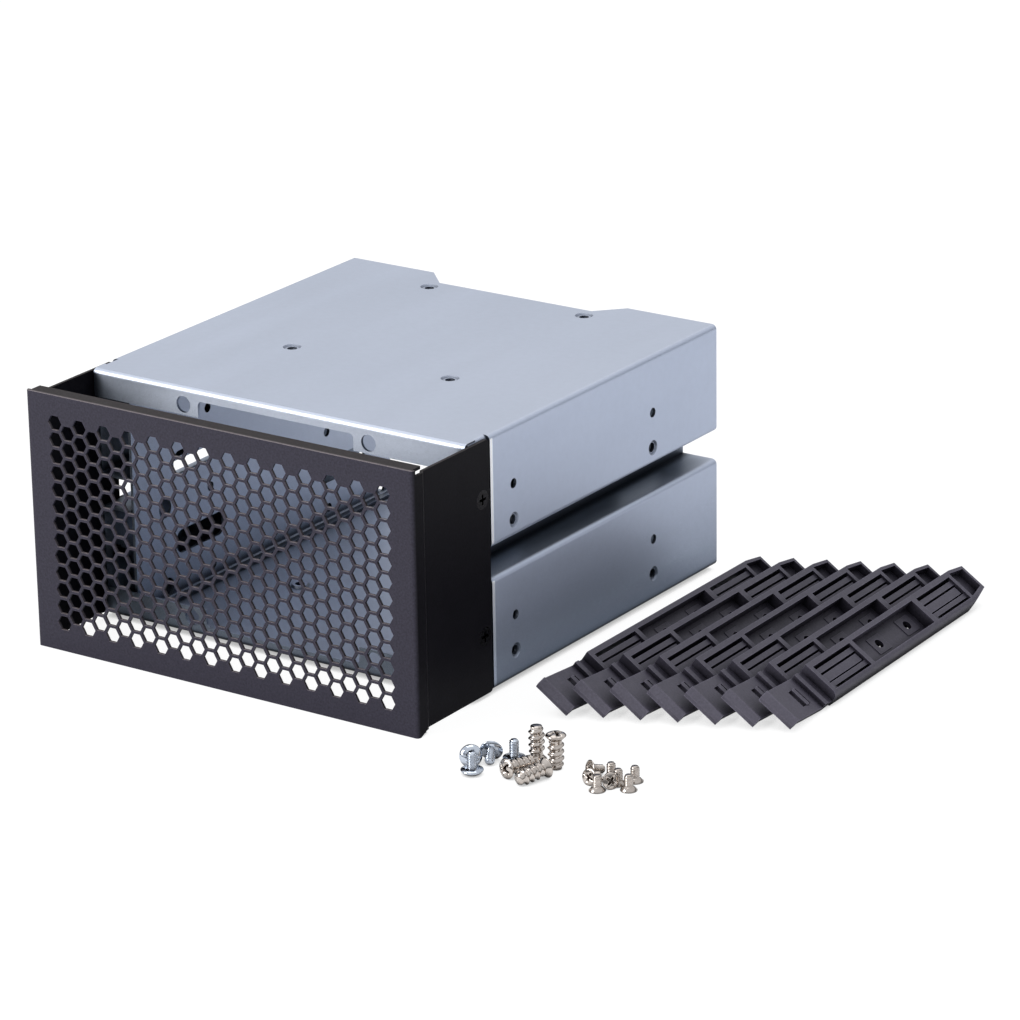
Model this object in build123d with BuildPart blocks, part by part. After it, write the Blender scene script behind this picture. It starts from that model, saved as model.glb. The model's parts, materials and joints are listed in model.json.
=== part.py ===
from build123d import *
from math import asin, cos, degrees, radians, sin
import os

# All lengths in millimetres, angles in degrees. X to the right, Y to the back, Z up.
# The origin is the middle of the cage's underside.

# Cage of galvanised sheet, one double drive bay high
cage_width = 146.0
cage_height = 83.0
cage_depth = 141.5
sheet = 1.0
bend_outer = 1.7
front = -cage_depth / 2
rear = cage_depth / 2
bend_middle = bend_outer - sheet / 2
wall_middle = (cage_width - sheet) / 2

# Gap between the two shells at mid height, where rails enter
lower_wall_top = 36.8
upper_wall_bottom = 46.6

# Front ends of the side walls are set in by one sheet for the bezel
set_in_length = 11.4
tab_middle = wall_middle - sheet
tab_start = front + 1.5

# Front flanges that carry the fan
fan_pitch = 71.5
fan_hole_radius = 2.75
fan_centre_z = cage_height / 2
flange_margin = 0.7
flange_height = (cage_height - fan_pitch) / 2 + fan_hole_radius + flange_margin
flange_opening_half = 30.0
flange_strip = 3.4
upper_flange_strip = 3.8
flange_corner = 1.5

# Formed screw holes, the standard patterns of large and small drives
hole_radius = 1.6
dish_radius = 3.0
side_dish_radius = 2.5
dish_depth = 0.55
collar_depth = 0.8
side_hole_first = 23.7
side_hole_pitch = 79.24
side_row_pitch = 11.84
lower_row_z = 9.2
upper_row_z = 52.2
plate_pitch_x = 61.72
plate_pitch_y = 76.6
plate_hole_first = 50.9

# Notch in the back edge of the top plate
notch_mouth_half = 38.8
notch_floor_half = 30.3
notch_depth = 8.8

# Inner walls with the rail slots of three drive levels
inner_wall_middle = 59.5
inner_flange_edge = 68.0
inner_foot_edge = 56.0
inner_wall_start = 1.8
level_count = 3
level_pitch = 27.0
slot_length = 25.0
slot_height = 8.0
slot_corner = 3.0
slot_z = 19.1
front_slot_centre = 35.4
rear_slot_centre = 114.3
pin_hole_radius = 1.6
pin_hole_z = 6.1
pin_hole_front = 41.6
pin_hole_rear = 105.6
lead_hole_radius = 3.2
lead_hole_front = 17.6
lead_hole_z = 5.6
rear_hole_radius = 2.0
rear_hole_front = 136.0
rear_hole_z = 4.2

# Bezel of black painted sheet
bezel_width = 148.0
bezel_bottom = -1.4
bezel_top = 84.15
bezel_projection = 30.6
bezel_lip = 5.7
bezel_bend = 1.3
bezel_lap = 10.8
bezel_wall_corner = 1.5
bezel_wall_top = 82.3
bezel_lip_end = (bezel_bend + sheet) / 2
bezel_face_middle = front - bezel_projection + sheet / 2

# Honeycomb of regular hexagons, wall to wall pitch and width across flats
cell_pitch = 5.58
cell_across = 4.75
cell_columns_long = 14
cell_rows_long = 13
cell_column_pitch = cell_pitch * cos(radians(30))
grille_z = 41.6

# Countersunk screws that hold the bezel
bezel_screw_depth = 7.0
bezel_screw_heights = (19.2, 63.7)
bezel_head_radius = 3.1
bezel_shank_radius = 1.45
bezel_shank_inside = 3.0
cross_length = 3.4
cross_width = 0.8
cross_depth = 0.9
screw_clearance = 0.05

# Drive rails of moulded plastic, lying shingled beside the cage
rail_count = 7
rail_length = 128.0
rail_width = 13.6
rail_thickness = 5.3
rail_gap = 0.6
rail_lag = 4.45
rail_roll = 34.0
last_rail_turn = 1.8
rail_turn_step = 0.25
last_rail_edge_x = 166.2
last_rail_start = 31.8
rail_outer_round = 2.2

# Rail body, across measured from its outer edge and along from the tab's lip
rail_body_start = 26.0
tip_outer_start = 119.0
tip_outer_inset = 2.3
tip_inner_start = 120.5
tip_inner_inset = 1.2
pocket_along = (53.0, 92.8)
pocket_across = (1.9, 12.0)
pocket_floor = 1.3
rail_hole_radius = 1.65
rail_holes_along = (67.8, 86.3)
rail_hole_across = 7.2
rail_pad_width = 6.4
rail_pad_length = 7.6
rail_pad_height = 0.25
windows_along = ((27.8, 51.0), (95.3, 117.8))
window_across = (1.9, 11.7)
window_sink = 0.8
window_slots = ((10.6, 11.7), (8.0, 8.8), (4.6, 5.1))
tongue_across = (4.6, 8.8)
tongue_gap = 0.9
ramp_across = (1.9, 3.0)
ramp_share = 0.55
tip_pocket_depth = 2.8
tip_pocket_start = 119.3
tip_pocket_end = 127.0
tip_pocket_wide = (2.0, 12.6)
tip_pocket_narrow = (3.5, 11.5)

# Springy finger tab of a rail, heights above the tray side
tab_inset = 0.2
tab_wall = 1.35
lip_foot = 3.2
lip_height = 5.1
lip_slope_end = 1.7
lip_top_end = 2.2
lip_step = 0.5
ramp_foot_along = 20.8
ramp_foot_height = 1.7
ridge_height = 3.2
ridge_end = 22.6
valley_start = 23.4
valley_height = 2.2
latch_along = (11.8, 17.2)
latch_across = (3.4, 10.0)
latch_bar_along = (14.0, 15.5)
latch_bar_heights = (1.4, 3.1)

# Loose screws standing and lying on the floor
floor = bezel_bottom
screw_tip_chamfer = 0.4
pan_length = 7.3
pan_head_radius = 3.5
pan_shank_radius = 1.5
pan_profile = ((1.8, 0.15), (2.9, 0.7), (pan_head_radius, 1.5), (3.3, 1.9), (pan_shank_radius, 1.9))
drive_length = 5.0
drive_head_radius = 2.6
drive_shank_radius = 1.4
drive_profile = ((drive_head_radius, 0), (drive_head_radius, 0.3), (drive_shank_radius, 1.5))
fan_length = 11.5
fan_head_radius = 3.2
fan_shank_radius = 2.3
fan_profile = ((2.2, 0), (fan_head_radius, 0.6), (fan_head_radius, 0.9), (fan_shank_radius, 2.2))


def sheet_section(*points, radius=bend_middle):
    """Trace a bent sheet along its middle line in the sketch that is open."""
    with BuildLine() as middle:
        FilletPolyline(*points, radius=radius)
    trace(middle.line, line_width=sheet)


def shell_outline(wall_x, wall_end, plate_z):
    """Open section of one shell: ledge, wall, plate, wall, ledge."""
    ledge_x = inner_wall_middle + sheet / 2
    return (
        (-ledge_x, wall_end),
        (-wall_x, wall_end),
        (-wall_x, plate_z),
        (wall_x, plate_z),
        (wall_x, wall_end),
        (ledge_x, wall_end),
    )


def shell_walls(wall_end, plate_z):
    """Walls and plate of one shell with the set-in tabs at the front."""
    with BuildSketch(Plane.XZ.offset(-(front + set_in_length))) as wide:
        sheet_section(*shell_outline(wall_middle, wall_end, plate_z))
    extrude(wide.sketch, amount=-(cage_depth - set_in_length))
    with BuildSketch(Plane.XZ.offset(-tab_start)) as narrow:
        sheet_section(*shell_outline(tab_middle, wall_end, plate_z))
    extrude(narrow.sketch, amount=-(set_in_length + sheet + front - tab_start))


def front_flange(plate_z, flange_end):
    """Flange turned from the plate across the front, rounded at the fold."""
    flange_y = front + sheet / 2
    with BuildSketch(Plane.YZ) as section:
        sheet_section((front + set_in_length / 2, plate_z), (flange_y, plate_z), (flange_y, flange_end))
    extrude(section.sketch, amount=tab_middle, both=True)


def screw_tab_holes():
    """Clearance for the bezel screws in the set-in tabs."""
    with BuildSketch(Plane.YZ) as holes:
        with Locations(*[(front + bezel_screw_depth, z) for z in bezel_screw_heights]):
            Circle(bezel_head_radius - sheet + screw_clearance)
    extrude(holes.sketch, amount=wall_middle, both=True, mode=Mode.SUBTRACT)


def fan_holes():
    """Four round holes of the fan pattern in the flange plane."""
    with BuildSketch(Plane.XZ.offset(-(front + sheet))) as holes:
        with Locations((0, fan_centre_z)):
            with GridLocations(fan_pitch, fan_pitch, 2, 2):
                Circle(fan_hole_radius)
    extrude(holes.sketch, amount=2 * sheet, mode=Mode.SUBTRACT)


def formed_holes(plane, places, radius):
    """Dished screw holes with a collar on the far side of the sheet."""
    with BuildSketch(plane.offset(-sheet)) as collars:
        with Locations(*places):
            Circle(radius)
    extrude(collars.sketch, amount=-collar_depth, taper=30)
    with BuildSketch(plane) as dishes:
        with Locations(*places):
            Circle(radius)
    extrude(dishes.sketch, amount=-dish_depth, taper=45, mode=Mode.SUBTRACT)
    plain_holes(plane, places)


def plain_holes(plane, places):
    """Round screw holes through the sheet at the plane and its collar."""
    with BuildSketch(plane) as holes:
        with Locations(*places):
            Circle(hole_radius)
    extrude(holes.sketch, amount=-(sheet + 2 * collar_depth), mode=Mode.SUBTRACT)


def side_planes():
    """Outer faces of the two side walls, seen from outside."""
    half = cage_width / 2
    right = Plane(origin=(half, 0, 0), x_dir=(0, 1, 0), z_dir=(1, 0, 0))
    left = Plane(origin=(-half, 0, 0), x_dir=(0, -1, 0), z_dir=(-1, 0, 0))
    return ((right, 1), (left, -1))


def side_holes(row_z):
    """One double row of drive holes in each side wall, the lower row formed."""
    stations = (front + side_hole_first, front + side_hole_first + side_hole_pitch)
    for plane, way in side_planes():
        formed_holes(plane, [(way * y, row_z) for y in stations], side_dish_radius)
        plain_holes(plane, [(way * y, row_z + side_row_pitch) for y in stations])


def plate_places(way):
    """Places of the small-drive pattern in a plate; way mirrors Y for the underside."""
    stations = (front + plate_hole_first, front + plate_hole_first + plate_pitch_y)
    return [(x, way * y) for y in stations for x in (-plate_pitch_x / 2, plate_pitch_x / 2)]


# Top shell
with BuildPart() as top_shell:
    shell_walls(upper_wall_bottom + sheet / 2, cage_height - sheet / 2)
    front_flange(cage_height - sheet / 2, cage_height - flange_height)
    with BuildSketch(Plane.XZ.offset(-(front + sheet))) as flange_gap:
        with Locations((0, cage_height - flange_height)):
            Rectangle(2 * flange_opening_half, 2 * (flange_height - upper_flange_strip))
        fillet(flange_gap.vertices(), flange_corner)
    extrude(amount=2 * sheet, mode=Mode.SUBTRACT)
    fan_holes()
    screw_tab_holes()
    formed_holes(Plane.XY.offset(cage_height), plate_places(1), dish_radius)
    side_holes(upper_row_z)
    with BuildSketch(Plane.XY.offset(cage_height)):
        with BuildLine():
            Polyline(
                (-notch_mouth_half, rear),
                (-notch_floor_half, rear - notch_depth),
                (notch_floor_half, rear - notch_depth),
                (notch_mouth_half, rear),
                close=True,
            )
        make_face()
    extrude(amount=-2 * sheet, mode=Mode.SUBTRACT)
top_shell.part.label = "top_shell"

# Bottom shell
with BuildPart() as bottom_shell:
    shell_walls(lower_wall_top - sheet / 2, sheet / 2)
    front_flange(sheet / 2, flange_height)
    with BuildSketch(Plane.XZ.offset(-(front + sheet))) as flange_gap:
        with Locations((0, flange_height)):
            Rectangle(2 * flange_opening_half, 2 * (flange_height - flange_strip))
        fillet(flange_gap.vertices(), flange_corner)
    extrude(amount=2 * sheet, mode=Mode.SUBTRACT)
    fan_holes()
    screw_tab_holes()
    underside = Plane(origin=(0, 0, 0), x_dir=(1, 0, 0), z_dir=(0, 0, -1))
    formed_holes(underside, plate_places(-1), dish_radius)
    side_holes(lower_row_z)
bottom_shell.part.label = "bottom_shell"


# Inner walls
def inner_wall(side):
    """Upright wall of the drive space, its foot turned inward and its head outward."""
    with BuildPart() as wall:
        start = front + inner_wall_start
        flange_low = sheet * 1.5
        flange_high = cage_height - sheet * 1.5
        with BuildSketch(Plane.XZ.offset(-start)):
            sheet_section(
                (side * inner_foot_edge, flange_low),
                (side * inner_wall_middle, flange_low),
                (side * inner_wall_middle, flange_high),
                (side * inner_flange_edge, flange_high),
            )
        extrude(amount=-(rear - start))
        with BuildSketch(Plane.YZ.offset(side * inner_wall_middle)):
            levels = [level * level_pitch for level in range(level_count)]
            with Locations(*[(front + y, slot_z + z) for y in (front_slot_centre, rear_slot_centre) for z in levels]):
                RectangleRounded(slot_length, slot_height, slot_corner)
            with Locations(*[(front + y, pin_hole_z + z) for y in (pin_hole_front, pin_hole_rear) for z in levels]):
                Circle(pin_hole_radius)
            with Locations(*[(front + lead_hole_front, lead_hole_z + z) for z in levels]):
                Circle(lead_hole_radius)
            with Locations((front + rear_hole_front, rear_hole_z)):
                Circle(rear_hole_radius)
        extrude(amount=sheet, both=True, mode=Mode.SUBTRACT)
    return wall


inner_wall_left = inner_wall(-1)
inner_wall_left.part.label = "inner_wall_left"
inner_wall_right = inner_wall(1)
inner_wall_right.part.label = "inner_wall_right"

# Bezel with honeycomb grille
lip_back = front - bezel_projection + bezel_lip
return_middle = (bezel_width - sheet) / 2
with BuildPart() as bezel:
    # Face with side returns that step in to the lapping walls
    with BuildSketch(Plane.XY.offset(bezel_bottom)):
        sheet_section(
            (-wall_middle, front + bezel_lap),
            (-wall_middle, lip_back + sheet),
            (-return_middle, lip_back - sheet / 2),
            (-return_middle, bezel_face_middle),
            (return_middle, bezel_face_middle),
            (return_middle, lip_back - sheet / 2),
            (wall_middle, lip_back + sheet),
            (wall_middle, front + bezel_lap),
            radius=bezel_bend / 2,
        )
    extrude(amount=bezel_top - bezel_bottom)
    # Walls and returns end at the cage's height, clear of the lips
    with BuildSketch(Plane.YZ):
        with BuildLine():
            Polyline(
                (bezel_face_middle + sheet, bezel_bottom - sheet),
                (bezel_face_middle + sheet, bezel_bottom),
                (lip_back - sheet, 0),
                (front + bezel_lap + sheet, 0),
                (front + bezel_lap + sheet, bezel_bottom - sheet),
                close=True,
            )
        make_face()
        with Locations((bezel_face_middle + sheet, bezel_wall_top)):
            Rectangle(bezel_projection + bezel_lap + sheet, 3 * sheet, align=(Align.MIN, Align.MIN))
    extrude(amount=bezel_width, both=True, mode=Mode.SUBTRACT)
    # Lips along the top and bottom edges
    with BuildSketch(Plane.YZ):
        sheet_section(
            (lip_back, bezel_top - sheet / 2),
            (bezel_face_middle, bezel_top - sheet / 2),
            (bezel_face_middle, bezel_bottom + sheet / 2),
            (lip_back, bezel_bottom + sheet / 2),
            radius=bezel_bend / 2,
        )
    extrude(amount=bezel_width / 2 - bezel_lip_end, both=True)
    # Rounded rear corners of the walls
    with BuildSketch(Plane.YZ) as wall_trim:
        corner_y = front + bezel_lap - bezel_wall_corner
        with Locations((corner_y, bezel_wall_top - bezel_wall_corner)):
            Rectangle(2 * sheet + bezel_wall_corner, 2 * bezel_wall_corner, align=(Align.MIN, Align.MIN))
        with Locations((corner_y, bezel_wall_top - bezel_wall_corner)):
            Circle(bezel_wall_corner, mode=Mode.SUBTRACT)
        with Locations((corner_y, bezel_wall_corner)):
            Rectangle(2 * sheet + bezel_wall_corner, 2 * bezel_wall_corner, align=(Align.MIN, Align.MAX))
        with Locations((corner_y, bezel_wall_corner)):
            Circle(bezel_wall_corner, mode=Mode.SUBTRACT)
    extrude(amount=bezel_width, both=True, mode=Mode.SUBTRACT)
    # Long and short columns of hexagons
    with BuildSketch(Plane.XZ.offset(-(bezel_face_middle - sheet))):
        with Locations((0, grille_z)):
            with GridLocations(2 * cell_column_pitch, cell_pitch, cell_columns_long, cell_rows_long):
                RegularPolygon(cell_across / 2, 6, major_radius=False)
            with GridLocations(2 * cell_column_pitch, cell_pitch, cell_columns_long - 1, cell_rows_long - 1):
                RegularPolygon(cell_across / 2, 6, major_radius=False)
    extrude(amount=-2 * sheet, mode=Mode.SUBTRACT)
    # Countersinks for the four screws
    for plane, way in side_planes():
        with BuildSketch(plane):
            with Locations(*[(way * (front + bezel_screw_depth), z) for z in bezel_screw_heights]):
                Circle(bezel_head_radius)
        extrude(amount=-sheet, taper=45, mode=Mode.SUBTRACT)
bezel.part.label = "bezel"


# Countersunk bezel screws, one solid each
def bezel_screws(plane, way):
    """Two flush screws of one side with crossed recesses."""
    with BuildPart() as screws:
        places = [(way * (front + bezel_screw_depth), z) for z in bezel_screw_heights]
        head_depth = bezel_head_radius - bezel_shank_radius
        with BuildSketch(plane):
            with Locations(*places):
                Circle(bezel_head_radius)
        extrude(amount=-head_depth, taper=45)
        with BuildSketch(plane):
            with Locations(*places):
                Circle(bezel_shank_radius)
        extrude(amount=-(2 * sheet + bezel_shank_inside))
        with BuildSketch(plane):
            with Locations(*places):
                Rectangle(cross_length, cross_width)
                Rectangle(cross_width, cross_length)
        extrude(amount=-cross_depth, mode=Mode.SUBTRACT)
    return screws


right_side, left_side = side_planes()
bezel_screws_right = bezel_screws(*right_side)
bezel_screws_right.part.label = "bezel_screws_right"
bezel_screws_left = bezel_screws(*left_side)
bezel_screws_left.part.label = "bezel_screws_left"


# Drive rail
def field(across, along):
    """Rectangle between two distances from the outer edge and two along the rail."""
    with Locations((-across[0], along[0])):
        Rectangle(across[1] - across[0], along[1] - along[0], align=(Align.MAX, Align.MIN))


def drive_rail():
    """One rail in its own axes: Y along it, its outer edge at X zero, Z out of the tray side."""
    with BuildPart() as rail:
        with BuildSketch():
            with BuildLine():
                Polyline(
                    (-rail_width, rail_body_start),
                    (0, rail_body_start),
                    (0, tip_outer_start),
                    (-tip_outer_inset, rail_length),
                    (-rail_width + tip_inner_inset, rail_length),
                    (-rail_width, tip_inner_start),
                    close=True,
                )
            make_face()
        extrude(amount=rail_thickness)
        outer_edge = rail.edges().filter_by(Axis.Y).group_by(Axis.Z)[-1].sort_by(Axis.X)[-1]
        fillet(outer_edge, rail_outer_round)
        # Middle pocket with two screw holes in low pads
        with BuildSketch(Plane.XY.offset(rail_thickness)):
            field(pocket_across, pocket_along)
        extrude(amount=-(rail_thickness - pocket_floor), mode=Mode.SUBTRACT)
        hole_places = [(-rail_hole_across, y) for y in rail_holes_along]
        with BuildSketch(Plane.XY.offset(pocket_floor)):
            with Locations(*hole_places):
                Rectangle(rail_pad_width, rail_pad_length)
        extrude(amount=rail_pad_height)
        with BuildSketch():
            with Locations(*hole_places):
                Circle(rail_hole_radius)
        extrude(amount=rail_thickness, mode=Mode.SUBTRACT)
        # Two windows, each with a spring tongue between long slots and a ramp
        for along in windows_along:
            ramp_end = along[0] + ramp_share * (along[1] - along[0])
            with BuildSketch(Plane.XY.offset(rail_thickness)):
                field(window_across, along)
            extrude(amount=-window_sink, mode=Mode.SUBTRACT)
            with BuildSketch():
                for across in window_slots:
                    field(across, along)
                field(tongue_across, (along[1] - tongue_gap, along[1]))
            extrude(amount=rail_thickness, mode=Mode.SUBTRACT)
            with BuildSketch(Plane.YZ.offset(-ramp_across[1])):
                with BuildLine():
                    Polyline(
                        (along[0], rail_thickness),
                        (ramp_end, 0),
                        (along[1], 0),
                        (along[1], rail_thickness),
                        close=True,
                    )
                make_face()
            extrude(amount=ramp_across[1] - ramp_across[0], mode=Mode.SUBTRACT)
        # Shallow pocket in the tapered tip
        with BuildSketch(Plane.XY.offset(rail_thickness)):
            with BuildLine():
                Polyline(
                    (-tip_pocket_wide[0], tip_pocket_start),
                    (-tip_pocket_narrow[0], tip_pocket_end),
                    (-tip_pocket_narrow[1], tip_pocket_end),
                    (-tip_pocket_wide[1], tip_pocket_start),
                    close=True,
                )
            make_face()
        extrude(amount=-tip_pocket_depth, mode=Mode.SUBTRACT)
        # Springy finger tab: lip, ramp, ridge and valley
        with BuildSketch(Plane.YZ.offset(-rail_width + tab_inset)):
            with BuildLine():
                Polyline(
                    (0, lip_foot - tab_wall),
                    (0, lip_foot),
                    (lip_slope_end, lip_height),
                    (lip_top_end, lip_height),
                    (lip_top_end, lip_height - lip_step),
                    (ramp_foot_along, ramp_foot_height),
                    (ramp_foot_along, ridge_height),
                    (ridge_end, ridge_height),
                    (valley_start, valley_height),
                    (rail_body_start + tab_wall, valley_height),
                    (rail_body_start + tab_wall, valley_height - tab_wall),
                    (valley_start, valley_height - tab_wall),
                    (ramp_foot_along, ramp_foot_height - tab_wall),
                    (lip_top_end, lip_height - lip_step - tab_wall),
                    close=True,
                )
            make_face()
        extrude(amount=rail_width - 2 * tab_inset)
        # Latch bar across an opening in the ramp
        with BuildSketch():
            field(latch_across, latch_along)
        extrude(amount=rail_thickness, mode=Mode.SUBTRACT)
        with BuildSketch(Plane.XY.offset(latch_bar_heights[0])):
            field(latch_across, latch_bar_along)
        extrude(amount=latch_bar_heights[1] - latch_bar_heights[0])
    return rail


rail_step = rail_thickness + rail_gap
for number in range(1, rail_count + 1):
    behind = rail_count - number
    edge_x = last_rail_edge_x - behind * rail_step / sin(radians(rail_roll))
    edge_y = front + last_rail_start - behind * rail_lag
    turn = radians(last_rail_turn - behind * rail_turn_step)
    rail_plane = Plane(
        origin=(edge_x, edge_y, floor),
        x_dir=(
            cos(radians(rail_roll)) * cos(turn),
            cos(radians(rail_roll)) * sin(turn),
            -sin(radians(rail_roll)),
        ),
        z_dir=(
            sin(radians(rail_roll)) * cos(turn),
            sin(radians(rail_roll)) * sin(turn),
            cos(radians(rail_roll)),
        ),
    )
    placed = rail_plane.location * drive_rail().part
    placed.label = f"drive_rail_{number}"
    os.makedirs("parts", exist_ok=True)
    export_step(placed, f"parts/drive_rail_{number}.step")


# Loose screws
def turned_screw(profile, length, shank_radius):
    """A screw in its own axes, head top at the origin and the shank along +Z."""
    with BuildPart() as screw:
        with BuildSketch(Plane.XZ):
            with BuildLine():
                Polyline(
                    (0, 0),
                    *profile,
                    (shank_radius, length - screw_tip_chamfer),
                    (shank_radius - screw_tip_chamfer, length),
                    (0, length),
                    close=True,
                )
            make_face()
        revolve(axis=Axis.Z)
    return screw


def standing(x, y):
    """A screw standing on its head on the floor."""
    return Location((x, y, floor))


def standing_on_tip(x, y, length):
    """A screw standing on its tip with the head up."""
    return Plane(origin=(x, y, floor + length), z_dir=(0, 0, -1)).location


def lying(x, y, heading, head_radius, shank_radius, length):
    """A screw lying on its head's rim and its tip, the tip towards the heading."""
    dip = asin((head_radius - shank_radius) / length)
    way = radians(heading)
    axis = (cos(way) * cos(dip), sin(way) * cos(dip), -sin(dip))
    return Plane(origin=(x, y, floor + head_radius * cos(dip)), z_dir=axis).location


pan_screw = turned_screw(pan_profile, pan_length, pan_shank_radius)
with BuildPart() as loose_pan_screws:
    with Locations(
        standing(103.0, -115.0),
        standing(108.3, -100.5),
        lying(99.6, -110.4, 130, pan_head_radius, pan_shank_radius, pan_length),
        lying(100.8, -101.3, -62, pan_head_radius, pan_shank_radius, pan_length),
    ):
        add(pan_screw.part)
loose_pan_screws.part.label = "loose_pan_screws"

drive_screw = turned_screw(drive_profile, drive_length, drive_shank_radius)
with BuildPart() as loose_drive_screws:
    with Locations(
        standing(141.2, -105.7),
        standing(148.9, -100.5),
        standing(139.5, -95.5),
        standing(146.9, -94.0),
        standing(143.9, -98.5),
        lying(136.8, -103.4, 85, drive_head_radius, drive_shank_radius, drive_length),
        lying(144.0, -102.5, 145, drive_head_radius, drive_shank_radius, drive_length),
        lying(133.2, -97.8, 60, drive_head_radius, drive_shank_radius, drive_length),
    ):
        add(drive_screw.part)
loose_drive_screws.part.label = "loose_drive_screws"

fan_screw = turned_screw(fan_profile, fan_length, fan_shank_radius)
with BuildPart() as loose_fan_screws:
    with Locations(
        standing(113.8, -96.7),
        standing_on_tip(121.6, -98.0, fan_length),
        lying(113.2, -113.0, 74, fan_head_radius, fan_shank_radius, fan_length),
        lying(123.1, -104.4, -107, fan_head_radius, fan_shank_radius, fan_length),
    ):
        add(fan_screw.part)
loose_fan_screws.part.label = "loose_fan_screws"

# Write one file for each named piece
pieces = (
    top_shell,
    bottom_shell,
    inner_wall_left,
    inner_wall_right,
    bezel,
    bezel_screws_right,
    bezel_screws_left,
    loose_pan_screws,
    loose_drive_screws,
    loose_fan_screws,
)
for piece in pieces:
    export_step(piece.part, f"parts/{piece.part.label}.step")
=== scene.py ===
import bpy
import json
import math
from mathutils import Matrix, Vector


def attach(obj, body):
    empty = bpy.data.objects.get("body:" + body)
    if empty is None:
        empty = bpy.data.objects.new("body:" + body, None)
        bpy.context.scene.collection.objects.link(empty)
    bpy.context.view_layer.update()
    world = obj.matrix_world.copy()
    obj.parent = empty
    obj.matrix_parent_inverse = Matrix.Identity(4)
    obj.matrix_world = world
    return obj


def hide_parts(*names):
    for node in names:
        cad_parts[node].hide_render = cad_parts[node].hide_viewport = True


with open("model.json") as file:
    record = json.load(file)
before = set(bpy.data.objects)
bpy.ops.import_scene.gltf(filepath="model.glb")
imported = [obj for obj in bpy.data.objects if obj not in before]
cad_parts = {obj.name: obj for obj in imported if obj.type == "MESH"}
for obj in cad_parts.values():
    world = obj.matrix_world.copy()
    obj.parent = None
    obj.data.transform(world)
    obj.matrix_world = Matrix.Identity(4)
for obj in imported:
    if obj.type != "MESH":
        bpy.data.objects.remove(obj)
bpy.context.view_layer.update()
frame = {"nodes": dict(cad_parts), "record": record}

MM = 0.001
WHITE = (1.0, 1.0, 1.0)

# The bezel's lower edge stands on the floor, this many millimetres from the frame's origin
FLOOR = -1.4

# Places on the cage that bound its painted light: the greyer bezel face, the lighter front flange and the
# highlight band at the front end of the side
FACE_Y = -101.35 * MM
FLANGE_END = -66.0 * MM
SIDE_START = -59.35 * MM
SIDE_INSIDE = 70.0 * MM

scene = bpy.context.scene


# Camera at the photograph's viewing angle
cam_data = bpy.data.cameras.new("camera")
cam_data.lens = 168.0
cam_data.sensor_width = 36.0
cam_data.clip_end = 20.0
camera = bpy.data.objects.new("camera", cam_data)
camera.location = (0.84969, -1.18024, 0.55039)
camera.rotation_euler = [math.radians(a) for a in (70.1814, 0.8968, 34.1537)]
scene.collection.objects.link(camera)
scene.camera = camera
scene.view_settings.view_transform = "Standard"


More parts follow.
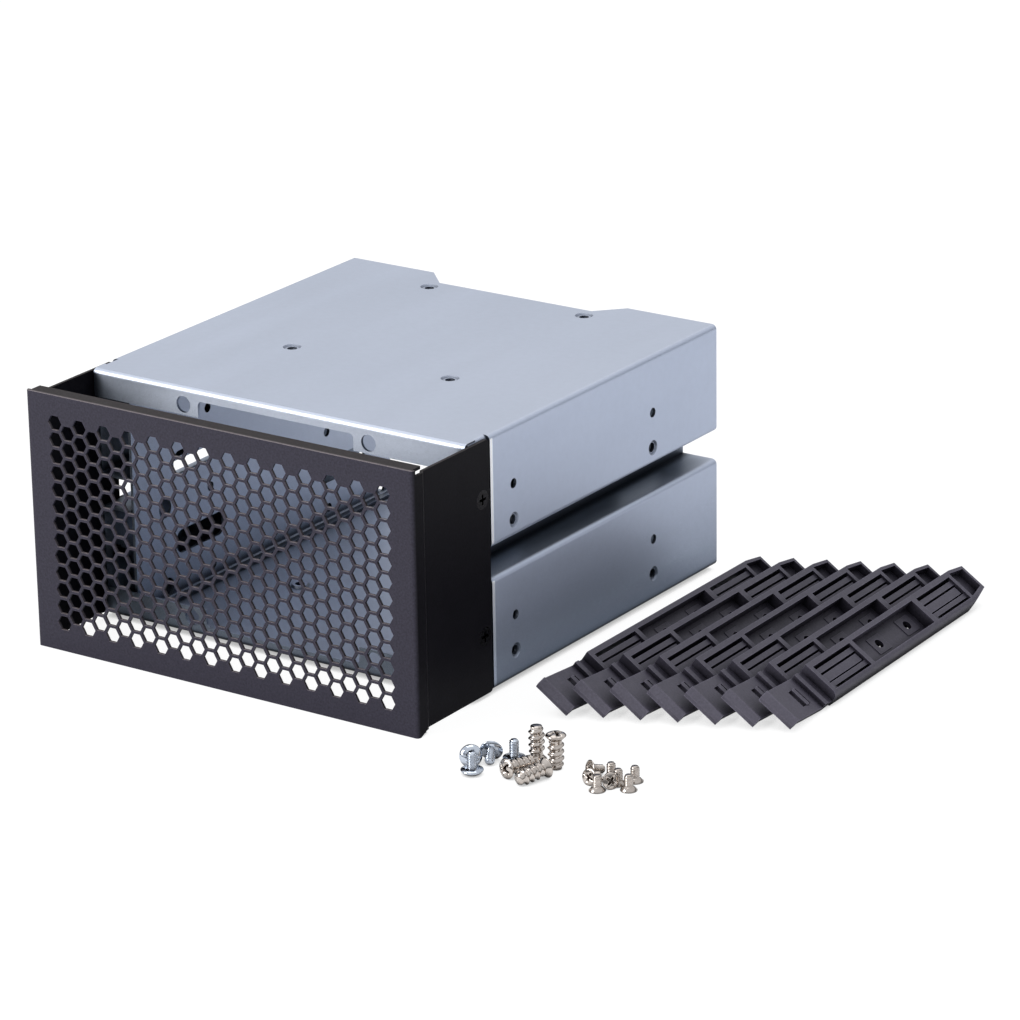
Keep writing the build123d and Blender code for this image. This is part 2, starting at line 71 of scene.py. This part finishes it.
# Materials
class Nodes:
    """A material's node tree with short calls for adding and linking nodes."""

    def __init__(self, name):
        self.material = bpy.data.materials.new(name)
        self.material.use_nodes = True
        self.tree = self.material.node_tree
        self.shader = self.tree.nodes["Principled BSDF"]
        self.coordinates = self.add("ShaderNodeTexCoord").outputs["Object"]

    def add(self, kind, **values):
        node = self.tree.nodes.new(kind)
        for key, value in values.items():
            setattr(node, key, value)
        return node

    def link(self, source, target):
        self.tree.links.new(source, target)

    def stretched(self, scale):
        """Object coordinates scaled apart along the three axes."""
        mapping = self.add("ShaderNodeMapping")
        mapping.inputs["Scale"].default_value = scale
        self.link(self.coordinates, mapping.inputs["Vector"])
        return mapping.outputs["Vector"]

    def noise(self, scale, detail=4.0, roughness=0.5, vector=None):
        node = self.add("ShaderNodeTexNoise")
        node.inputs["Scale"].default_value = scale
        node.inputs["Detail"].default_value = detail
        node.inputs["Roughness"].default_value = roughness
        self.link(vector or self.coordinates, node.inputs["Vector"])
        return node.outputs["Fac"]

    def spread(self, value, low, high, from_low=0.3, from_high=0.7):
        """The value's span from_low to from_high, laid onto low to high."""
        node = self.add("ShaderNodeMapRange")
        node.inputs["From Min"].default_value = from_low
        node.inputs["From Max"].default_value = from_high
        node.inputs["To Min"].default_value = low
        node.inputs["To Max"].default_value = high
        self.link(value, node.inputs["Value"])
        return node.outputs["Result"]

    def tint(self, value, dark, light, at_dark=0.3, at_light=0.7):
        """A colour between dark and light that follows the value."""
        ramp = self.add("ShaderNodeValToRGB")
        ramp.color_ramp.elements[0].position = at_dark
        ramp.color_ramp.elements[0].color = (*dark, 1)
        ramp.color_ramp.elements[1].position = at_light
        ramp.color_ramp.elements[1].color = (*light, 1)
        self.link(value, ramp.inputs["Fac"])
        return ramp.outputs["Color"]

    def multiply(self, a, b):
        mix = self.add("ShaderNodeMix", data_type="RGBA", blend_type="MULTIPLY")
        mix.inputs["Factor"].default_value = 1.0
        self.link(a, mix.inputs["A"])
        self.link(b, mix.inputs["B"])
        return mix.outputs["Result"]

    def bump(self, height, distance, strength):
        node = self.add("ShaderNodeBump")
        node.inputs["Distance"].default_value = distance
        node.inputs["Strength"].default_value = strength
        self.link(height, node.inputs["Height"])
        return node.outputs["Normal"]

    def facing(self):
        """The normal's three components."""
        node = self.add("ShaderNodeSeparateXYZ")
        self.link(self.add("ShaderNodeNewGeometry").outputs["Normal"], node.inputs["Vector"])
        return node.outputs["X"], node.outputs["Y"], node.outputs["Z"]

    def place(self):
        """The three object coordinates."""
        node = self.add("ShaderNodeSeparateXYZ")
        self.link(self.coordinates, node.inputs["Vector"])
        return node.outputs["X"], node.outputs["Y"], node.outputs["Z"]

    def both(self, a, b):
        """The product of two values."""
        node = self.add("ShaderNodeMath", operation="MULTIPLY")
        self.link(a, node.inputs[0])
        self.link(b, node.inputs[1])
        return node.outputs["Value"]

    def edge_mask(self, radius):
        """1 on flats, less on edges within the radius."""
        bevel = self.add("ShaderNodeBevel", samples=6)
        bevel.inputs["Radius"].default_value = radius
        geometry = self.add("ShaderNodeNewGeometry")
        dot = self.add("ShaderNodeVectorMath", operation="DOT_PRODUCT")
        self.link(bevel.outputs["Normal"], dot.inputs[0])
        self.link(geometry.outputs["Normal"], dot.inputs[1])
        return dot.outputs["Value"]

    def open_air(self, distance, low, high):
        """0 in hollows, 1 where nothing stands within the distance."""
        node = self.add("ShaderNodeAmbientOcclusion", samples=8)
        node.inputs["Distance"].default_value = distance
        return self.spread(node.outputs["AO"], 0.0, 1.0, low, high)

    def set(self, **sockets):
        for key, value in sockets.items():
            socket = self.shader.inputs[key.replace("_", " ")]
            if hasattr(value, "is_output"):
                self.link(value, socket)
            else:
                socket.default_value = value
        return self.material


def galvanised_steel():
    """Zinc-coated sheet, with painted shade in hollows, in folds and on surfaces facing +X, painted light
    on the front flange and a painted highlight band at the front end of the +X side.
    """
    n = Nodes("galvanised_steel")
    streak = n.noise(60.0, 3.0, 0.6, n.stretched((1.0, 0.08, 1.0)))
    sheet = n.multiply(
        n.tint(n.noise(14.0, 3.0), (0.592, 0.641, 0.750), (0.614, 0.663, 0.774)),
        n.tint(n.noise(420.0, 3.0, 0.6), (0.97, 0.97, 0.97), WHITE),
    )
    across, ahead, _ = n.facing()
    x, y, _ = n.place()
    # painted shade: surfaces facing +X are darkened and made bluer
    side = n.tint(across, WHITE, (0.88, 0.905, 0.955), 0.2, 0.9)
    # painted shade: darker where other surfaces stand within 70 mm
    hollow_shade = n.tint(n.open_air(0.07, 0.30, 0.73), (0.28, 0.31, 0.335), WHITE, 0.0, 1.0)
    # painted light: surfaces facing -Y in front of the flange's end are lightened
    front = n.both(
        n.spread(ahead, 1.0, 0.0, -0.95, -0.6),
        n.spread(y, 1.0, 0.0, FLANGE_END, FLANGE_END + 4 * MM),
    )
    # painted highlight: a bright band on the +X side just behind its front end
    rim = n.both(
        n.spread(y, 1.0, 0.0, SIDE_START + 1.2 * MM, SIDE_START + 1.6 * MM),
        n.spread(x, 0.0, 1.0, SIDE_INSIDE, SIDE_INSIDE + 2 * MM),
    )
    edge = n.both(rim, n.spread(across, 0.0, 1.0, 0.9, 0.97))
    side_band_highlight = n.tint(edge, WHITE, (2.1, 2.0, 1.9), 0.0, 1.0)
    flange_light = n.tint(front, WHITE, (1.20, 1.19, 1.17), 0.0, 1.0)
    # painted shade: dark lines in folds and creases, from occlusion within 4.5 mm
    crease_shade = n.tint(n.open_air(0.0045, 0.72, 1.0), (0.15, 0.16, 0.18), WHITE, 0.0, 1.0)
    shaded = n.multiply(n.multiply(sheet, side), n.multiply(hollow_shade, flange_light))
    return n.set(
        Base_Color=n.multiply(shaded, n.multiply(crease_shade, side_band_highlight)),
        Metallic=0.8,
        Roughness=n.spread(streak, 0.40, 0.46),
        Normal=n.bump(n.noise(2600.0, 2.0), 0.00001, 0.3),
    )


def black_paint():
    """Powder coat: deep black walls, with painted light making the face at the front end of Y greyer and
    the tops and folds lighter, and painted highlights on its edges.
    """
    n = Nodes("black_paint")
    # painted light: the face at the front end of Y is greyer than the walls
    face = n.spread(n.place()[1], 1.0, 0.0, FACE_Y + 0.2 * MM, FACE_Y + 1.2 * MM)
    sand = n.noise(1400.0, 2.0, 0.6)
    colour = n.multiply(
        n.tint(face, (0.005, 0.0045, 0.007), (0.030, 0.027, 0.042), 0.0, 1.0),
        n.tint(sand, (0.70, 0.70, 0.70), (1.15, 1.15, 1.15)),
    )
    # painted light: upward-facing tops and folds are lightened up to six times
    top_light = n.tint(n.facing()[2], WHITE, (6.6, 6.3, 4.2), 0.35, 0.75)
    # painted highlight: rounded edges are lightened
    edge_highlight = n.tint(n.edge_mask(0.00025), (2.4, 2.4, 2.4), WHITE, 0.75, 0.98)
    return n.set(
        Base_Color=n.multiply(n.multiply(colour, top_light), edge_highlight),
        Roughness=n.spread(n.noise(120.0), 0.36, 0.44),
        Specular_IOR_Level=n.spread(face, 0.06, 0.20, 0.0, 1.0),
        Normal=n.bump(sand, 0.00004, 0.6),
    )


def rail_plastic():
    """Grained dark plastic, with painted highlights along its edges and painted shade in its pockets, which
    are also duller.
    """
    n = Nodes("rail_plastic")
    grain = n.noise(1500.0, 3.0, 0.6)
    air = n.open_air(0.007, 0.35, 0.97)
    plastic = n.multiply(
        n.tint(n.noise(60.0, 3.0), (0.067, 0.061, 0.086), (0.081, 0.074, 0.102)),
        n.tint(grain, (0.78, 0.78, 0.78), (1.12, 1.12, 1.12)),
    )
    # painted highlight: rounded edges are lightened
    edge_highlight = n.tint(n.edge_mask(0.0004), (2.7, 2.7, 2.7), WHITE, 0.72, 0.98)
    # painted shade: darker in pockets and hollows
    hollow_shade = n.tint(air, (0.16, 0.16, 0.17), WHITE, 0.0, 1.0)
    return n.set(
        Base_Color=n.multiply(n.multiply(plastic, edge_highlight), hollow_shade),
        Roughness=n.spread(n.noise(200.0), 0.46, 0.56),
        Specular_IOR_Level=n.spread(air, 0.12, 0.50, 0.0, 1.0),
        Normal=n.bump(grain, 0.00005, 0.7),
    )


def plated(name, dark, light, rough):
    """Plated metal of a screw, with painted shade between its threads."""
    n = Nodes(name)
    marks = n.noise(900.0, 3.0)
    # painted shade: darker between the threads and in other hollows
    hollow_shade = n.tint(n.open_air(0.0022, 0.25, 0.90), (0.14, 0.12, 0.11), WHITE, 0.0, 1.0)
    return n.set(
        Base_Color=n.multiply(n.tint(n.noise(300.0), dark, light), hollow_shade),
        Metallic=1.0,
        Roughness=n.spread(marks, rough, rough + 0.06),
        Normal=n.bump(marks, 0.00002, 0.4),
    )


def floor_paper():
    """White paper; seen straight it glows where the air above it is open, and the dimmer glow under and
    beside things is a painted shadow.
    """
    n = Nodes("floor_paper")
    path = n.add("ShaderNodeLightPath").outputs["Is Camera Ray"]
    paper = n.tint(n.noise(6.0, 2.0), (0.92, 0.92, 0.92), (0.93, 0.93, 0.93))
    seen = n.add("ShaderNodeMix", data_type="RGBA")
    n.link(path, seen.inputs["Factor"])
    n.link(paper, seen.inputs["A"])
    seen.inputs["B"].default_value = (0.13, 0.13, 0.13, 1)
    # painted shadow: the glow dims where things stand within 10 mm above the floor
    shadowed_glow = n.spread(n.open_air(0.010, 0.10, 0.50), 0.42, 0.93, 0.0, 1.0)
    return n.set(
        Base_Color=seen.outputs["Result"],
        Roughness=0.9,
        Specular_IOR_Level=0.0,
        Emission_Color=(1, 1, 1, 1),
        Emission_Strength=n.both(path, shadowed_glow),
    )


finishes = {
    "galvanised": galvanised_steel(),
    "black_paint": black_paint(),
    "black_screw": plated("black_screw", (0.014, 0.013, 0.015), (0.024, 0.023, 0.026), 0.24),
    "rail_plastic": rail_plastic(),
    "blue_zinc": plated("blue_zinc", (0.50, 0.55, 0.63), (0.68, 0.73, 0.81), 0.05),
    "nickel": plated("nickel", (0.46, 0.41, 0.37), (0.70, 0.64, 0.59), 0.06),
}
slot_of = {row["node"]: row["material_slot"] for row in frame["record"]["subparts"]}
for name, node in frame["nodes"].items():
    node.data.materials.clear()
    node.data.materials.append(finishes[slot_of[name]])


# Screws with threads and crossed recesses, made in millimetres
SIDES = 56
CROWN_RINGS = 14
RINGS_PER_TURN = 10


def cross_sink(x, y, reach, width, depth):
    """Depth of a crossed recess at a point of a screw head."""
    long, short = max(abs(x), abs(y)), min(abs(x), abs(y))
    across = min(1.0, max(0.0, (width / 2 - short) / 0.18 + 0.5))
    along = min(1.0, max(0.0, (reach - long) / (0.55 * reach)))
    return depth * across * along


def screw_mesh(name, head, recess, core, crest, pitch, thread_start, length, tip):
    """A screw with its crown at the origin and its tip at the length.

    The head is a profile of (radius, height) pairs from the crown to the shank. The recess is the reach,
    width and depth of its cross. Core and crest are the thread's radii, and tip is how much the core
    narrows at its end.
    """
    rings = []
    reach, width, depth = recess
    crown = [(head[0][0] * (i / CROWN_RINGS), head[0][1]) for i in range(1, CROWN_RINGS + 1)]
    for radius, height in crown + list(head[1:]):
        rings.append([(radius, height)] * SIDES)
    steps = int((length - thread_start) / pitch * RINGS_PER_TURN)
    for i in range(steps + 1):
        z = thread_start + (length - thread_start) * i / steps
        fade = min(1.0, (z - thread_start) / (0.6 * pitch), (length - z) / (0.8 * pitch))
        body = core - tip * max(0.0, 1.0 - (length - z) / (1.2 * pitch))
        ring = []
        for k in range(SIDES):
            turn = (z / pitch - k / SIDES) % 1.0
            ridge = max(0.0, 1.0 - abs(turn - 0.5) / 0.32) * max(0.0, fade)
            ring.append((body + (crest - core) * ridge, z))
        rings.append(ring)
    points = [(0.0, 0.0, rings[0][0][1] + cross_sink(0, 0, reach, width, depth))]
    for ring in rings:
        for k, (radius, z) in enumerate(ring):
            x = radius * math.cos(math.tau * k / SIDES)
            y = radius * math.sin(math.tau * k / SIDES)
            sink = cross_sink(x, y, reach, width, depth) if z < thread_start and radius <= reach else 0.0
            points.append((x, y, z + (sink if z <= head[-1][1] * 0.5 else 0.0)))
    points.append((0.0, 0.0, length))
    faces = [(0, 1 + (k + 1) % SIDES, 1 + k) for k in range(SIDES)]
    for r in range(len(rings) - 1):
        a, b = 1 + r * SIDES, 1 + (r + 1) * SIDES
        faces += [(a + k, a + (k + 1) % SIDES, b + (k + 1) % SIDES, b + k) for k in range(SIDES)]
    last = 1 + (len(rings) - 1) * SIDES
    faces += [(last + k, last + (k + 1) % SIDES, len(points) - 1) for k in range(SIDES)]
    mesh = bpy.data.meshes.new(name)
    mesh.from_pydata([Vector(p) * MM for p in points], [], faces)
    mesh.polygons.foreach_set("use_smooth", [True] * len(mesh.polygons))
    mesh.update()
    return mesh


def place(mesh, name, slot, node, body, matrix):
    """One screw that shows in place of the node's solids."""
    piece = bpy.data.objects.new(name, mesh)
    scene.collection.objects.link(piece)
    piece.matrix_world = matrix
    if not mesh.materials:
        mesh.materials.append(finishes[slot])
    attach(piece, body)
    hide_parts(node)


def aimed(x, y, z, direction, spin=0.0):
    """Matrix of a screw whose head is at the point and whose tip is towards the direction."""
    turn = Vector(direction).to_track_quat("Z", "Y").to_matrix().to_4x4()
    return Matrix.Translation(Vector((x, y, z)) * MM) @ turn @ Matrix.Rotation(math.radians(spin), 4, "Z")


def standing(x, y):
    """On its head, with the tip up."""
    return aimed(x, y, FLOOR, (0, 0, 1))


def on_tip(x, y, length, spin):
    return aimed(x, y, FLOOR + length, (0, 0, -1), spin)


def lying(x, y, heading, head, shank, length, spin):
    """On its side, resting on the head's rim and the tip, which points along the heading in degrees."""
    dip = math.asin((head - shank) / length)
    way = math.radians(heading)
    direction = (math.cos(way) * math.cos(dip), math.sin(way) * math.cos(dip), -math.sin(dip))
    return aimed(x, y, FLOOR + head * math.cos(dip), direction, spin)


def scatter(mesh, name, slot, node, matrices):
    for i, matrix in enumerate(matrices):
        place(mesh, f"{name}_{i + 1}", slot, node, "cage", matrix)


# Head radius, shank radius and length of each kind of screw, in millimetres
PAN = (3.5, 1.5, 7.3)
SMALL = (2.6, 1.4, 5.0)
COARSE = (3.2, 2.3, 11.5)

pan = screw_mesh(
    "pan_screw",
    ((1.6, 0.1), (2.3, 0.32), (2.9, 0.7), (3.3, 1.15), (3.5, 1.5), (3.42, 1.75), (1.6, 1.9), (1.35, 2.0)),
    (1.95, 0.75, 1.3), 1.3, 1.5, 0.5, 2.05, PAN[2], 0.35,
)
scatter(pan, "pan_screw", "blue_zinc", "loose_pan_screws", (
    standing(103.0, -115.0),
    standing(108.3, -100.5),
    lying(99.6, -110.4, 130, *PAN, 20),
    lying(100.8, -101.3, -62, *PAN, 35),
))

small = screw_mesh(
    "drive_screw",
    ((1.5, 0.0), (2.3, 0.02), (2.58, 0.12), (2.6, 0.3), (1.5, 1.4), (1.3, 1.5)),
    (1.6, 0.6, 1.0), 1.28, 1.42, 0.5, 1.55, SMALL[2], 0.3,
)
scatter(small, "drive_screw", "nickel", "loose_drive_screws", (
    standing(141.2, -105.7),
    standing(148.9, -100.5),
    standing(139.5, -95.5),
    standing(146.9, -94.0),
    standing(143.9, -98.5),
    lying(136.8, -103.4, 85, *SMALL, 20),
    lying(144.0, -102.5, 145, *SMALL, 40),
    lying(133.2, -97.8, 60, *SMALL, 10),
))

coarse = screw_mesh(
    "fan_screw",
    ((1.2, 0.0), (2.3, 0.22), (3.0, 0.62), (3.2, 0.9), (3.1, 1.1), (2.1, 2.1), (1.9, 2.3)),
    (2.0, 0.8, 1.5), 1.9, 2.6, 2.1, 2.4, COARSE[2], 0.15,
)
scatter(coarse, "fan_screw", "nickel", "loose_fan_screws", (
    standing(113.8, -96.7),
    on_tip(121.6, -98.0, COARSE[2], 30),
    lying(113.2, -113.0, 74, *COARSE, 25),
    lying(123.1, -104.4, -107, *COARSE, 10),
))


# Floor and light
def plane(name, half, z, material):
    mesh = bpy.data.meshes.new(name)
    corners = [(x * half, y * half, z) for x, y in ((-1, -1), (1, -1), (1, 1), (-1, 1))]
    mesh.from_pydata(corners, [], [(0, 1, 2, 3)])
    mesh.materials.append(material)
    piece = bpy.data.objects.new(name, mesh)
    scene.collection.objects.link(piece)


# A hair below what stands on it
plane("floor", 6.0, (FLOOR - 0.02) * MM, floor_paper())


def area_light(name, location, target, size, power):
    data = bpy.data.lights.new(name, "AREA")
    data.shape = "RECTANGLE"
    data.size, data.size_y = size
    data.energy = power
    light = bpy.data.objects.new(name, data)
    light.location = location
    light.rotation_euler = (Vector(target) - Vector(location)).to_track_quat("-Z", "Y").to_euler()
    scene.collection.objects.link(light)


area_light("overhead", (-0.15, 0.15, 1.5), (0.03, 0, 0.03), (1.2, 1.2), 4.0)
area_light("front", (-0.9, -1.4, 0.8), (0.0, -0.07, 0.05), (0.8, 0.8), 20.0)

# Bright sky above a dim horizon
world = bpy.data.worlds.new("studio")
world.use_nodes = True
scene.world = world
sky = world.node_tree
direction = sky.nodes.new("ShaderNodeTexCoord")
split = sky.nodes.new("ShaderNodeSeparateXYZ")
rise = sky.nodes.new("ShaderNodeMapRange")
rise.inputs["From Min"].default_value = 0.10
rise.inputs["From Max"].default_value = 0.45
rise.inputs["To Min"].default_value = 0.19
rise.inputs["To Max"].default_value = 0.84
sky.links.new(direction.outputs["Generated"], split.inputs["Vector"])
sky.links.new(split.outputs["Z"], rise.inputs["Value"])
sky.links.new(rise.outputs["Result"], sky.nodes["Background"].inputs["Strength"])
sky.nodes["Background"].inputs["Color"].default_value = (0.96, 0.975, 1.0, 1)
